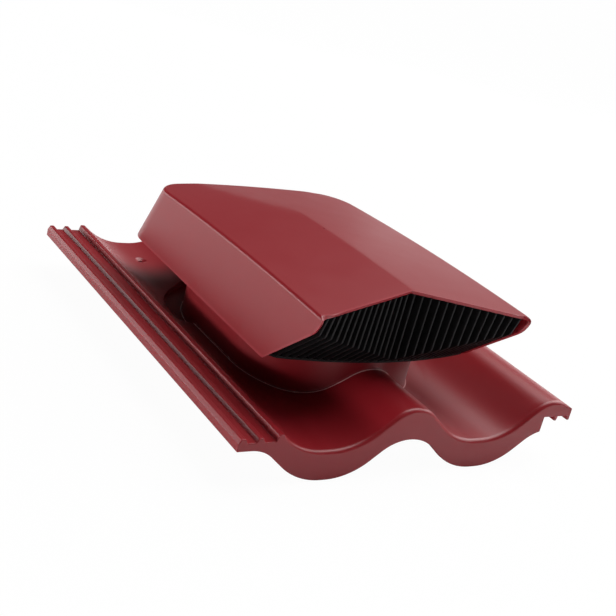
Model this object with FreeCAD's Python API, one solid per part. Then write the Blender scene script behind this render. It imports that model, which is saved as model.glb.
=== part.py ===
import FreeCAD, Part
import math
import os

# Roof tile vent: a tile-shaped base with a collar, a hipped hood over it and a finned grille under the hood.
# Millimetres. X across the roof, Y up the slope (the grille looks towards -Y), Z out of the roof.
# The origin is under the middle of the tile, level with the lowest points that it rests on.

# Tile sheet
TILE_W = 330.0
TILE_L = 420.0
SIDE_LAP = 30.0
COVER_W = TILE_W - SIDE_LAP
SHEET = 3.5
LEFT = -TILE_W / 2
RIGHT = TILE_W / 2
FRONT = -TILE_L / 2
REAR = TILE_L / 2
PAST = 200.0

# Wave of the sheet, two waves to the cover width
PITCH = COVER_W / 2
CREST_X = -6.5
VALLEY_Z = 25.5
WAVE_H = PITCH * 13 / 60
VALLEY_R = PITCH * 0.4
CREST_R = PITCH * 0.2
FLANK = math.radians(40.0)
LIP = math.radians(28.0)
CREST_Z = VALLEY_Z + WAVE_H
VALLEYS = (CREST_X - PITCH / 2, CREST_X + PITCH / 2)
ARC_RUN = (VALLEY_R + CREST_R) * math.sin(FLANK)
ARC_RISE = (VALLEY_R + CREST_R) * (1 - math.cos(FLANK))
FLAT_HALF = PITCH / 2 - ARC_RUN - (WAVE_H - ARC_RISE) / math.tan(FLANK)

# Interlock on the left edge: two ribs, and a third that heads the first flank
CHANNEL_Z = 37.2
RIB_H = 3.7
RIB_TOP = 3.6
RIB_FOOT = 2.0
RIB_ROUND = 1.2
RIB_1 = 4.0
RIB_2 = 18.9
HEAD_TOP = 4.2
HEAD_LEAN = 1.2
HEAD_Z = 42.7
HEM_T = 3.2
HEM_Z = 30.4

# Overlap lip on the right edge, with its two weather bars
BAR_Z = 39.6
TOOTH_IN = 16.6
TOOTH_TIP = 2.6
TOOTH_ROOT = 6.8
EDGE_TIP = 2.6
EDGE_ROOT = 4.6

# Front apron
APRON_H = VALLEY_Z
APRON_T = 4.0
APRON_PINCH = 1.5
APRON_CREST_R = CREST_R * 4 / 3
APRON_LEFT_Z = 30.8
APRON_LEFT_R = 30.0
NOTCH_IN = 30.4
NOTCH_Z = 43.6
FRONT_ROUND = 2.2

# Collar round the airway, and the moat behind it
COLLAR_R = PITCH * 17 / 30
COLLAR_T = 3.5
COLLAR_FRONT_Y = -56.0
COLLAR_REAR_Y = 21.0
COLLAR_TOP = 68.0
DUCT_Z = 10.0
MOAT_R = COLLAR_R + 18.0
MOAT_Z = 20.5
MOAT_FRONT_Y = 15.0

# Screw holes over the batten, and the nibs that hang on it
HOLE_D = 5.2
SINK_D = 12.0
SINK_H = 2.0
HOLE_Y = 164.0
NIB_W = 40.0
NIB_T = 8.0
NIB_Y = 186.0
NIB_ROUND = 2.0

# Hood
HOOD_OVER = 19.0
HOOD_W = 2 * (COLLAR_R + HOOD_OVER)
HOOD_Z = COLLAR_TOP - 2.4
HALF = HOOD_W / 2
WALL = 2.8
RIDGE_Z = 138.4
RIDGE_Y = -162.2
EDGE_DROP = 8.1
ROOF_SLOPE = EDGE_DROP / HALF
CROWN_Y = -115.0
CROWN_R = 3770.0
CROWN_TURN = math.degrees(2 * TILE_L / CROWN_R)
CROWN_Z = RIDGE_Z + (CROWN_Y - RIDGE_Y) ** 2 / (2 * CROWN_R)
NOSE_Y = -195.6
NOSE_R = 4.0
CORNER_Y = NOSE_Y - 0.7 * NOSE_R
CORNER_Z = CROWN_Z - EDGE_DROP - (CROWN_Y - CORNER_Y) ** 2 / (2 * CROWN_R)
KINK_Y = -189.5
KINK_Z = CORNER_Z - 15.6
KINK_R = 8.0
FOOT_Y = -131.3
FOOT_R = 3.0
HIP_RISE = 0.098
HIP_Z = RIDGE_Z - 11.5
REAR_LEAN = math.radians(30.3)
REAR_SIDE_Y = 143.5
REAR_BOW = 6.4
BOW_R = 600.0
REAR_R = 26.0
HIP_Y = REAR_SIDE_Y + REAR_BOW - (HIP_Z - HOOD_Z) * math.tan(REAR_LEAN)
ROOF_ROUND = 2.8

# Grille: fins, tie bar, and the floor with its rain upstand
FIN_COUNT = 28
FIN_SIDE = 6.0
FIN_PITCH = (HOOD_W - 2 * WALL - 2 * FIN_SIDE) / (FIN_COUNT - 1)
FIN_T = 1.8
FIN_DEEP = 14.0
FIN_BACK = 1.5
MID_KINK_Z = 76.0
BAR_T = 3.0
BAR_H = 8.0
FLOOR_T = 2.5
FLOOR_TOP = COLLAR_TOP + FLOOR_T
FLOOR_MID_Y = COLLAR_FRONT_Y - COLLAR_R - 8.5
MID_KINK_Y = FLOOR_MID_Y - 12.0
FLOOR_BOW = 15.0
FLOOR_R = (HALF ** 2 + FLOOR_BOW ** 2) / (2 * FLOOR_BOW)
FIT = 0.4
ROOF_GAP = 0.3
UPSTAND_T = 2.0
UPSTAND_Z = 92.0

# Screws that hold the floor on the collar
BOSS_D = 9.0
BOSS_H = 24.0
BOSS_IN = COLLAR_R - COLLAR_T + 0.8 - BOSS_D / 2
BOSS_YS = (-46.0, 4.0)
SCREW_D = 2.8
SCREW_L = 17.0
SCREW_HEAD_D = 7.5
SCREW_HEAD_H = 2.6
HEAD_ROOM = 2.05
UPSTAND_R = BOSS_IN - SCREW_HEAD_D / 2 - HEAD_ROOM - UPSTAND_T
PILOT_D = SCREW_D + 0.1
CLEAR_D = SCREW_D + 1.4

# Snap hooks and stop ribs inside the hood
HOOK_YS = (-95.0, -10.0, 75.0)
HOOK_W = 14.0
HOOK_IN = 2.4
HOOK_H = 2.2
HOOK_GAP = 0.2
STOP_T = 2.0
STOP_IN = 6.0
STOP_H = 26.0
STOP_SIDE = 12.0


def vec(x, y, z):
    return FreeCAD.Vector(x, y, z)


def in_xy(z):
    return lambda p: vec(p.x, p.y, z)


def in_xz(y):
    return lambda p: vec(p.x, y, p.y)


def in_yz(x):
    return lambda p: vec(x, p.x, p.y)


def corner(before, here, after, radius):
    """Start, middle and end of the arc that rounds one corner of an outline."""
    if radius == 0:
        return here, None, here
    back = (before - here).normalize()
    ahead = (after - here).normalize()
    half = back.getAngle(ahead) / 2
    cut = radius / math.tan(half)
    inward = (back + ahead).normalize()
    return here + back * cut, here + inward * (radius / math.sin(half) - radius), here + ahead * cut


def outline(corners, place):
    """Closed wire through corners given as (u, v, radius)."""
    points = [vec(u, v, 0) for u, v, radius in corners]
    count = len(points)
    rounds = []
    for i in range(count):
        rounds.append(corner(points[i - 1], points[i], points[(i + 1) % count], corners[i][2]))
    edges = []
    for i in range(count):
        start, middle, end = rounds[i]
        if middle is not None:
            edges.append(Part.Arc(place(start), place(middle), place(end)).toShape())
        following = rounds[(i + 1) % count][0]
        if (following - end).Length > 1e-6:
            edges.append(Part.LineSegment(place(end), place(following)).toShape())
    return Part.Wire(edges)


def prism(corners, place, along):
    return Part.Face(outline(corners, place)).extrude(along)


def rod(diameter, height, x, y, z):
    return Part.makeCylinder(diameter / 2, height, vec(x, y, z))


def box(x0, x1, y0, y1, z0, z1):
    return Part.makeBox(x1 - x0, y1 - y0, z1 - z0, vec(x0, y0, z0))


def lip_corner(depth):
    """Corner where the last flank and the overlap lip would meet over the right-hand crest."""
    reach = (CREST_R - depth) / (1 + math.cos(FLANK + LIP))
    x = CREST_X + PITCH + reach * (math.sin(LIP) - math.sin(FLANK))
    z = CREST_Z - CREST_R + reach * (math.cos(LIP) + math.cos(FLANK))
    return x, z


def wave_corners(depth, drop=0.0, crest_r=CREST_R, pinch=0.0):
    """Corners of the wave from the first valley to the right edge, at a depth under the top face."""
    half = FLAT_HALF + (VALLEY_R + depth) * math.tan(FLANK / 2) - pinch
    valley_z = VALLEY_Z - depth - drop
    apex_z = CREST_Z - CREST_R + (CREST_R - depth) / math.cos(FLANK) - drop + pinch * math.tan(FLANK)
    corners = []
    for valley_x in VALLEYS:
        corners.append((valley_x - half, valley_z, VALLEY_R + depth))
        corners.append((valley_x + half, valley_z, VALLEY_R + depth))
    corners.insert(2, (CREST_X, apex_z, crest_r - depth))
    x, z = lip_corner(depth)
    corners.append((x, z - drop, crest_r - depth))
    corners.append((RIGHT, z - drop - (RIGHT - x) * math.tan(LIP), 0))
    return corners


def flank_x(depth, z, drop=0.0, pinch=0.0):
    """Where the first flank passes a height, at a depth under the top face."""
    x, valley_z, radius = wave_corners(depth, drop, CREST_R, pinch)[0]
    return x - (z - valley_z) / math.tan(FLANK)


def interlock_corners():
    """Interlock from the hem under the left edge to the head of the first flank."""
    top = CHANNEL_Z + RIB_H
    half = RIB_TOP / 2
    corners = [
        (LEFT + HEM_T, CHANNEL_Z - SHEET, 1.0),
        (LEFT + HEM_T, HEM_Z, 0.8),
        (LEFT, HEM_Z, 0.8),
        (LEFT, CHANNEL_Z, 0.8),
    ]
    for centre in (LEFT + RIB_1, LEFT + RIB_2):
        if centre > LEFT + RIB_1:
            corners.append((centre - half - RIB_FOOT, CHANNEL_Z, 0.8))
        corners.append((centre - half, top, RIB_ROUND))
        corners.append((centre + half, top, RIB_ROUND))
        corners.append((centre + half + RIB_FOOT, CHANNEL_Z, 0.8))
    head = flank_x(0, HEAD_Z)
    corners.append((head - HEAD_TOP - HEAD_LEAN, CHANNEL_Z, 0.8))
    corners.append((head - HEAD_TOP, HEAD_Z, 0))
    corners.append((head, HEAD_Z, 3.0))
    return corners


def sheet():
    """The waved sheet with its interlock and overlap lip."""
    below = CHANNEL_Z - SHEET
    under = [(flank_x(SHEET, below), below, 3.0)] + wave_corners(SHEET)
    corners = interlock_corners() + wave_corners(0) + under[::-1]
    return prism(corners, in_xz(FRONT), vec(0, TILE_L, 0))


def weather_bars():
    """Two bars under the overlap lip that drop into the next tile's channels."""
    tooth = RIGHT - TOOTH_IN
    root_z = CREST_Z - SHEET + 0.3
    middle = [
        (tooth - TOOTH_ROOT / 2, root_z, 0),
        (tooth - TOOTH_TIP / 2, BAR_Z, 0.8),
        (tooth + TOOTH_TIP / 2, BAR_Z, 0.8),
        (tooth + TOOTH_ROOT / 2, root_z, 0),
    ]
    edge_z = wave_corners(SHEET / 2)[-1][1]
    outer = [
        (RIGHT - EDGE_ROOT, edge_z + EDGE_ROOT * math.tan(LIP), 0),
        (RIGHT - EDGE_TIP, BAR_Z, 0.8),
        (RIGHT, BAR_Z, 0.8),
        (RIGHT, edge_z, 0),
    ]
    along = vec(0, TILE_L, 0)
    return prism(middle, in_xz(FRONT), along).fuse(prism(outer, in_xz(FRONT), along))


def apron():
    """Front apron that follows the wave and stops short where the next tile slides under."""
    inside = SHEET / 2
    top = [(LEFT, CHANNEL_Z - inside, 0), (flank_x(inside, CHANNEL_Z - inside), CHANNEL_Z - inside, 0)]
    top += wave_corners(inside)
    flank = flank_x(0, APRON_LEFT_Z, APRON_H, APRON_PINCH)
    low = [(LEFT, APRON_LEFT_Z, 1.0), (flank, APRON_LEFT_Z, APRON_LEFT_R)]
    low += wave_corners(0, APRON_H, APRON_CREST_R, APRON_PINCH)
    strip = prism(top + low[::-1], in_xz(FRONT), vec(0, APRON_T, 0))
    notch = box(RIGHT - NOTCH_IN, RIGHT + 1, FRONT - 1, FRONT + APRON_T + 1, -1, NOTCH_Z)
    return strip.cut(notch)


def obround(radius, z0, z1):
    """Round-ended block on the collar's axis."""
    corners = [
        (CREST_X - radius, COLLAR_FRONT_Y - radius, radius),
        (CREST_X + radius, COLLAR_FRONT_Y - radius, radius),
        (CREST_X + radius, COLLAR_REAR_Y + radius, radius),
        (CREST_X - radius, COLLAR_REAR_Y + radius, radius),
    ]
    return prism(corners, in_xy(z0), vec(0, 0, z1 - z0))


def moat_block(grow, z0, z1):
    """Half disc round the rear of the collar."""
    disc = Part.makeCylinder(MOAT_R + grow, z1 - z0, vec(CREST_X, COLLAR_REAR_Y, z0))
    ahead = box(LEFT, RIGHT, FRONT, MOAT_FRONT_Y - grow, z0 - 1, z1 + 1)
    return disc.cut(ahead)


def under_wave():
    """Everything below the top face of the wave."""
    corners = [(flank_x(0, HEAD_Z), HEAD_Z, 0)] + wave_corners(0)
    corners += [(RIGHT, 0, 0), (flank_x(0, HEAD_Z), 0, 0)]
    return prism(corners, in_xz(FRONT), vec(0, TILE_L, 0))


def middle_of(edge):
    return edge.valueAt((edge.FirstParameter + edge.LastParameter) / 2)


def front_edges(body):
    """Edges where the wave's top face meets the front of the apron."""
    wave = under_wave()
    picked = []
    for edge in body.Edges:
        mid = middle_of(edge)
        if edge.BoundBox.YMax > FRONT + 0.01 or mid.x < flank_x(0, HEAD_Z):
            continue
        inside = wave.isInside(vec(mid.x, FRONT + 1, mid.z - 0.2), 1e-4, True)
        outside = not wave.isInside(vec(mid.x, FRONT + 1, mid.z + 0.2), 1e-4, True)
        if inside and outside and edge.BoundBox.XLength > 0.5:
            picked.append(edge)
    return picked


def boss_centres():
    return [(CREST_X + side * BOSS_IN, y) for side in (-1, 1) for y in BOSS_YS]


def bosses():
    solids = [rod(BOSS_D, BOSS_H, x, y, COLLAR_TOP - BOSS_H) for x, y in boss_centres()]
    return solids[0].multiFuse(solids[1:])


def nibs():
    """Two nibs under the rear edge that hook over the batten."""
    solids = []
    for x in VALLEYS:
        corners = [
            (x - NIB_W / 2, VALLEY_Z - SHEET / 2, 0),
            (x - NIB_W / 2, 0, NIB_ROUND),
            (x + NIB_W / 2, 0, NIB_ROUND),
            (x + NIB_W / 2, VALLEY_Z - SHEET / 2, 0),
        ]
        solids.append(prism(corners, in_xz(NIB_Y), vec(0, NIB_T, 0)))
    return solids[0].fuse(solids[1])


def batten_holes():
    """Sunk screw holes through the two valleys."""
    solids = []
    for x in VALLEYS:
        solids.append(rod(HOLE_D, 3 * SHEET, x, HOLE_Y, VALLEY_Z - 2 * SHEET))
        solids.append(Part.makeCone(HOLE_D / 2, SINK_D / 2, SINK_H, vec(x, HOLE_Y, VALLEY_Z - SINK_H)))
    return solids[0].multiFuse(solids[1:])


def tile_base():
    body = sheet().multiFuse([weather_bars(), apron(), nibs()])
    moat = moat_block(SHEET, MOAT_Z - SHEET, CREST_Z + 1).common(under_wave())
    body = body.fuse(moat).cut(moat_block(0, MOAT_Z, CREST_Z + 2))
    collar = obround(COLLAR_R, DUCT_Z, COLLAR_TOP)
    body = body.fuse(collar).cut(obround(COLLAR_R - COLLAR_T, DUCT_Z - 1, COLLAR_TOP + 1))
    body = body.fuse(bosses())
    for x, y in boss_centres():
        body = body.cut(rod(PILOT_D, SCREW_L, x, y, COLLAR_TOP - SCREW_L))
    body = body.cut(batten_holes()).removeSplitter()
    return body.makeFillet(FRONT_ROUND, front_edges(body))


def roof_z(across, y):
    """Height of the hood's crowned outer roof beside its ridge, ahead of the hip."""
    return CROWN_Z - ROOF_SLOPE * abs(across) - (y - CROWN_Y) ** 2 / (2 * CROWN_R)


def leaning(p):
    """Point on the plane square to the leaning rear wall, far below the hood."""
    away = p.y * math.cos(REAR_LEAN) + TILE_L * math.sin(REAR_LEAN)
    up = p.y * math.sin(REAR_LEAN) - TILE_L * math.cos(REAR_LEAN)
    return vec(p.x, REAR_SIDE_Y + away, HOOD_Z + up)


def hood_block(inset):
    """Hood as a solid block with its walls and roof moved inwards by an inset."""
    half = HALF - inset
    walls = [
        (CREST_X - half, -2 * TILE_L, 0),
        (CREST_X + half, -2 * TILE_L, 0),
        (CREST_X + half, -inset, REAR_R - inset),
        (CREST_X, REAR_BOW - inset, BOW_R),
        (CREST_X - half, -inset, REAR_R - inset),
    ]
    reach = 4 * TILE_L
    block = prism(walls, leaning, vec(0, -reach * math.sin(REAR_LEAN), reach * math.cos(REAR_LEAN)))
    start = FRONT - PAST
    span = 3 * TILE_L
    wide = HALF + PAST
    gable = [
        (CREST_X - wide, -PAST, 0),
        (CREST_X + wide, -PAST, 0),
        (CREST_X + wide, roof_z(wide, CROWN_Y) - inset, 0),
        (CREST_X, CROWN_Z - inset, 0),
        (CREST_X - wide, roof_z(wide, CROWN_Y) - inset, 0),
    ]
    section = Part.Face(outline(gable, in_xz(CROWN_Y)))
    axis = vec(CREST_X, CROWN_Y, CROWN_Z - CROWN_R)
    section.rotate(axis, vec(1, 0, 0), CROWN_TURN / 2)
    roof = section.revolve(axis, vec(1, 0, 0), -CROWN_TURN)
    hip = [
        (start, -PAST, 0),
        (start + span, -PAST, 0),
        (start + span, HIP_Z - inset - HIP_RISE * (start + span - HIP_Y), 0),
        (start, HIP_Z - inset - HIP_RISE * (start - HIP_Y), 0),
    ]
    return block.common(roof).common(prism(hip, in_yz(CREST_X - wide), vec(2 * wide, 0, 0)))


def roof_edges(block):
    """Edges between the roof and the upright walls."""
    picked = []
    for edge in block.Edges:
        mid = middle_of(edge)
        if mid.z < KINK_Z or edge.BoundBox.YMax < CORNER_Y + 1:
            continue
        slopes = []
        for face in block.ancestorsOfType(edge, Part.Face):
            slopes.append(abs(face.normalAt(*face.Surface.parameter(mid)).z))
        if max(slopes) > 0.95 and min(slopes) < 0.8:
            picked.append(edge)
    return picked


def hood_side():
    """Side view of the hood: the raked front edge with its kink, and the level lower edge."""
    high = RIDGE_Z + PAST
    corners = [
        (CORNER_Y, high, 0),
        (CORNER_Y, CORNER_Z, 0),
        (KINK_Y, KINK_Z, KINK_R),
        (FOOT_Y, HOOD_Z, FOOT_R),
        (REAR, HOOD_Z, 0),
        (REAR, high, 0),
    ]
    return prism(corners, in_yz(CREST_X - HOOD_W), vec(2 * HOOD_W, 0, 0))


def front_notch():
    """Shallow V that sets the roof's front edge back towards the ridge."""
    corners = [
        (CREST_X - HALF, NOSE_Y, 0),
        (CREST_X - HALF, FRONT - PAST, 0),
        (CREST_X + HALF, FRONT - PAST, 0),
        (CREST_X + HALF, NOSE_Y, 0),
        (CREST_X, RIDGE_Y, 0),
    ]
    return prism(corners, in_xy((KINK_Z + CORNER_Z) / 2), vec(0, 0, PAST))


def nose_waste(side):
    """What is taken off one side wall's upper front corner to round it."""
    inner = CREST_X + side * (HALF - WALL)
    kept = [
        (RIDGE_Y, CORNER_Z, 0),
        (CORNER_Y, CORNER_Z, NOSE_R),
        (KINK_Y, KINK_Z, 0),
        (RIDGE_Y, KINK_Z, 0),
    ]
    whole = [
        (NOSE_Y + NOSE_R, CORNER_Z + NOSE_R, 0),
        (CORNER_Y - 1, CORNER_Z + NOSE_R, 0),
        (CORNER_Y - 1, CORNER_Z - 1.5 * NOSE_R, 0),
        (NOSE_Y + NOSE_R, CORNER_Z - 1.5 * NOSE_R, 0),
    ]
    along = vec(side * 2 * WALL, 0, 0)
    return prism(whole, in_yz(inner), along).cut(prism(kept, in_yz(inner), along))


def hood_catches():
    """Snap hooks that go under the floor's edge, and stop ribs that stand on it."""
    wall_in = HALF - WALL
    solids = []
    for side in (-1, 1):
        root = CREST_X + side * (wall_in + WALL / 2)
        tip = CREST_X + side * (wall_in - HOOK_IN)
        rib = CREST_X + side * (wall_in - STOP_IN)
        top = COLLAR_TOP - HOOK_GAP
        for y in HOOK_YS:
            hook = [(root, top - HOOK_H, 0), (tip, top - HOOK_H / 3, 0), (tip, top, 0), (root, top, 0)]
            solids.append(prism(hook, in_xz(y - HOOK_W / 2), vec(0, HOOK_W, 0)))
            for away in (-STOP_SIDE, STOP_SIDE):
                x0, x1 = sorted((root, rib))
                y0 = y + away - STOP_T / 2
                solids.append(box(x0, x1, y0, y0 + STOP_T, FLOOR_TOP, FLOOR_TOP + STOP_H))
    return solids


def hood():
    block = hood_block(0).common(hood_side())
    shell = block.makeFillet(ROOF_ROUND, roof_edges(block))
    shell = shell.cut(hood_block(WALL)).cut(front_notch()).cut(nose_waste(-1)).cut(nose_waste(1))
    return shell.multiFuse(hood_catches()).removeSplitter()


def floor_front(across):
    """Front edge of the floor, a shallow bow round the collar."""
    return FLOOR_MID_Y + FLOOR_R - math.sqrt(FLOOR_R ** 2 - across ** 2)


def fin(across):
    """One upright fin whose front edge runs down, kinks and turns back under the hood."""
    share = abs(across) / HALF
    top_y = RIDGE_Y + (NOSE_Y - RIDGE_Y) * share + FIN_BACK
    kink_y = MID_KINK_Y + (KINK_Y - MID_KINK_Y) * share + FIN_BACK
    kink_z = MID_KINK_Z + (KINK_Z - MID_KINK_Z) * share
    foot_y = floor_front(across)
    foot_z = FLOOR_TOP - FLOOR_T / 2
    under = WALL + ROOF_GAP + ROOF_SLOPE * FIN_T / 2
    corners = [
        (top_y, roof_z(across, top_y) - under, 0),
        (kink_y, kink_z, 0),
        (foot_y, foot_z, 0),
        (foot_y + FIN_DEEP, foot_z, 0),
        (kink_y + FIN_DEEP, kink_z, 0),
        (top_y + FIN_DEEP, roof_z(across, top_y + FIN_DEEP) - under, 0),
    ]
    return prism(corners, in_yz(CREST_X + across - FIN_T / 2), vec(FIN_T, 0, 0))


def tie_bar(side):
    """Bar behind the fins' tops, from one side wall to the ridge."""
    half = HALF - WALL - FIT
    run = (RIDGE_Y - NOSE_Y) * half / HALF
    end_y = RIDGE_Y - run + FIN_BACK + FIN_DEEP
    top = roof_z(half, end_y) - WALL - 2 * ROOF_GAP
    section = [
        (end_y - BAR_T, top - BAR_H, 0),
        (end_y, top - BAR_H, 0),
        (end_y, top, 0),
        (end_y - BAR_T, top, 0),
    ]
    rise = roof_z(0, end_y + run) - roof_z(half, end_y)
    return prism(section, in_yz(CREST_X + side * half), vec(-side * half, run, rise))


def grille_floor():
    """Floor plate inside the hood, with the airway and its rain upstand."""
    bow = Part.makeCylinder(FLOOR_R, FLOOR_T, vec(CREST_X, FLOOR_MID_Y + FLOOR_R, COLLAR_TOP))
    plate = hood_block(WALL + FIT).common(bow)
    plate = plate.fuse(obround(UPSTAND_R + UPSTAND_T, COLLAR_TOP, UPSTAND_Z))
    plate = plate.cut(obround(UPSTAND_R, COLLAR_TOP - 1, UPSTAND_Z + 1))
    for x, y in boss_centres():
        plate = plate.cut(rod(CLEAR_D, 3 * FLOOR_T, x, y, COLLAR_TOP - FLOOR_T))
    return plate


def grille():
    first = -(FIN_COUNT - 1) / 2 * FIN_PITCH
    fins = [fin(first + i * FIN_PITCH) for i in range(FIN_COUNT)]
    return grille_floor().multiFuse(fins + [tie_bar(-1), tie_bar(1)]).removeSplitter()


def floor_screws():
    """Four equal pan-head screws."""
    screws = []
    for x, y in boss_centres():
        shank = rod(SCREW_D, SCREW_L - 1, x, y, FLOOR_TOP - SCREW_L + 1)
        head = rod(SCREW_HEAD_D, SCREW_HEAD_H, x, y, FLOOR_TOP)
        screws.append(shank.fuse(head).removeSplitter())
    return Part.makeCompound(screws)


os.makedirs("parts", exist_ok=True)
NODES = {
    "tile_base": tile_base,
    "hood": hood,
    "grille": grille,
    "floor_screws": floor_screws,
}
for name, make in NODES.items():
    shape = make()
    shape.exportStep("parts/" + name + ".step")
    bounds = shape.BoundBox
    print(name, "solids", len(shape.Solids), "valid", shape.isValid(), "cm3", round(shape.Volume / 1000, 1),
          "box", [round(v, 1) for v in (bounds.XMin, bounds.XMax, bounds.YMin, bounds.YMax, bounds.ZMin, bounds.ZMax)])
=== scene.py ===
import math

import bmesh
import bpy
import numpy as np
from mathutils import Matrix, Vector


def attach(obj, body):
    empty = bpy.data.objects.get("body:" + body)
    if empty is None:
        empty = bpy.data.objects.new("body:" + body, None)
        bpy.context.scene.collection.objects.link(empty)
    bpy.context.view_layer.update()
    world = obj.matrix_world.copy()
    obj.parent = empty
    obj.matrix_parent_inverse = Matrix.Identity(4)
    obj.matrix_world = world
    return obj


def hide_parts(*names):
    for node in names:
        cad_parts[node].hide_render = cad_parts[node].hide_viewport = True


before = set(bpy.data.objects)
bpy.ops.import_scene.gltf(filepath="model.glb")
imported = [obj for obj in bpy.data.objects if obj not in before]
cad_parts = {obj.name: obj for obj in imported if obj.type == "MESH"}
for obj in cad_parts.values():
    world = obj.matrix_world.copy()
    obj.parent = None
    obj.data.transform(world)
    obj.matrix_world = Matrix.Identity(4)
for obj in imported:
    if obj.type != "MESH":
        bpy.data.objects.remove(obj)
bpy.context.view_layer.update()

MM = 0.001

# Sizes in millimetres: the part's own, with the small roundings and trim that it leaves to the scene

LEFT, RIGHT = -165.0, 165.0
FRONT, REAR = -210.0, 210.0
SHEET = 3.5
PITCH = 150.0
CREST_X = -6.5
VALLEY_Z = 25.5
WAVE_H = 32.5
VALLEY_R = 60.0
CREST_R = 30.0
FLANK = math.radians(40.0)
LIP = math.radians(28.0)
CREST_Z = VALLEY_Z + WAVE_H
VALLEYS = (CREST_X - PITCH / 2, CREST_X + PITCH / 2)
ARC_RUN = (VALLEY_R + CREST_R) * math.sin(FLANK)
ARC_RISE = (VALLEY_R + CREST_R) * (1 - math.cos(FLANK))
FLAT_HALF = PITCH / 2 - ARC_RUN - (WAVE_H - ARC_RISE) / math.tan(FLANK)

CHANNEL_Z = 37.2
RIB_H = 3.7
RIB_TOP = 3.6
RIB_FOOT = 2.0
RIB_ROUND = 1.2
RIB_1 = 4.0
RIB_2 = 18.9
HEAD_TOP = 4.2
HEAD_LEAN = 1.2
HEAD_Z = 42.7
HEM_T = 3.2
HEM_Z = 30.4

BAR_Z = 39.6
TOOTH_IN = 16.6
TOOTH_TIP = 2.6
TOOTH_ROOT = 6.8
EDGE_TIP = 2.6
EDGE_ROOT = 4.6

APRON_H = VALLEY_Z
APRON_T = 4.0
APRON_PINCH = 1.5
APRON_CREST_R = 40.0
APRON_LEFT_R = 30.0
NOTCH_IN = 30.4
NOTCH_X = RIGHT - NOTCH_IN
NOTCH_Z = 43.6
FRONT_ROUND = 3.5
RIB_FRONT_ROUND = 0.7
LOW_ROUND = 0.8
REAR_ROUND = 0.5

COLLAR_R = 85.0
COLLAR_T = 3.5
COLLAR_FRONT_Y = -56.0
COLLAR_REAR_Y = 21.0
COLLAR_TOP = 68.0
DUCT_Z = 10.0
DUCT_MID = 38.0
MOAT_W = 18.0
MOAT_Z = 20.5
MOAT_FRONT_Y = 15.0
FOOT_FILLET = 2.0
# Thin bead round the collar's foot, coloured pale to paint a highlight line there
HIGHLIGHT_BEAD_R = 0.5
HIGHLIGHT_BEAD_OUT = 1.0
HIGHLIGHT_BEAD_UP = 0.3
HIGHLIGHT_BEAD_STEP = 0.6
HIGHLIGHT_BEAD_GAP = 1.5
RIM_ROUND = 1.0

HOLE_D = 5.2
SINK_D = 12.0
SINK_H = 2.0
HOLE_Y = 164.0
NIB_W = 40.0
NIB_T = 8.0
NIB_Y = 186.0
NIB_ROUND = 2.0

HALF = 104.0
HOOD_Z = 65.6
WALL = 2.8
RIDGE_Z = 138.4
RIDGE_Y = -162.2
EDGE_DROP = 8.1
CROWN_Y = -115.0
CROWN_R = 3770.0
CROWN_Z = RIDGE_Z + (CROWN_Y - RIDGE_Y) ** 2 / (2 * CROWN_R)
NOSE_Y = -195.6
NOSE_R = 4.0
NOSE_OVER = 0.7
CORNER_Y = NOSE_Y - NOSE_OVER * NOSE_R
CORNER_Z = CROWN_Z - EDGE_DROP - (CROWN_Y - CORNER_Y) ** 2 / (2 * CROWN_R)
KINK_Y = -189.5
KINK_DROP = 15.6
KINK_Z = CORNER_Z - KINK_DROP
KINK_R = 8.0
FOOT_Y = -131.3
HIP_RISE = 0.098
HIP_DROP = 11.5
HIP_Z = RIDGE_Z - HIP_DROP
REAR_LEAN = math.radians(30.3)
REAR_SIDE_Y = 143.5
REAR_BOW = 6.4
BOW_R = 600.0
REAR_R = 26.0
HIP_Y = REAR_SIDE_Y + REAR_BOW - (HIP_Z - HOOD_Z) * math.tan(REAR_LEAN)
ROOF_ROUND = 2.8
INNER_ROUND = 0.8
RIDGE_SOFT = 1.6
HIP_SOFT = 0.4
RIM_BEVEL = 0.6
RIM_BACK = 1.4
GATE_Y = -24.5
GATE_R = 1.1
GATE_H = 0.35
GATE_SINK = 0.6

FIN_COUNT = 28
FIN_PITCH = 7.052
FIN_T = 1.8
FIN_DEEP = 14.0
FIN_BACK = 1.5
FIN_BEVEL = 0.35
FIN_END_R = 0.6
FIN_KINK_R = 1.5
MID_KINK_Z = 76.0
BAR_T = 3.0
BAR_H = 8.0
BAR_ROUND = 0.4
FLOOR_T = 2.5
FLOOR_TOP = COLLAR_TOP + FLOOR_T
FLOOR_LIP = 8.5
FLOOR_MID_Y = COLLAR_FRONT_Y - COLLAR_R - FLOOR_LIP
KINK_OUT = 12.0
MID_KINK_Y = FLOOR_MID_Y - KINK_OUT
FLOOR_BOW = 15.0
FLOOR_R = (HALF ** 2 + FLOOR_BOW ** 2) / (2 * FLOOR_BOW)
FIT = 0.4
ROOF_GAP = 0.3
UPSTAND_R = 70.0
UPSTAND_T = 2.0
UPSTAND_Z = 92.0
UPSTAND_FOOT = 1.2
FLOOR_EASE = 0.4

BOSS_D = 9.0
BOSS_H = 24.0
BOSS_BITE = 0.8
BOSS_IN = COLLAR_R - COLLAR_T + BOSS_BITE - BOSS_D / 2
BOSS_YS = (-46.0, 4.0)
SCREW_D = 2.8
SCREW_L = 17.0
SCREW_HEAD_D = 7.5
SCREW_HEAD_H = 2.6

HOOK_YS = (-95.0, -10.0, 75.0)
HOOK_W = 14.0
HOOK_IN = 2.4
HOOK_H = 2.2
HOOK_GAP = 0.2
STOP_T = 2.0
STOP_IN = 6.0
STOP_H = 26.0
STOP_SIDE = 12.0
CATCH_EASE = 0.25


# Outlines and lofts

COARSE = math.radians(15)
MITRE_MIN = 0.4


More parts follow.
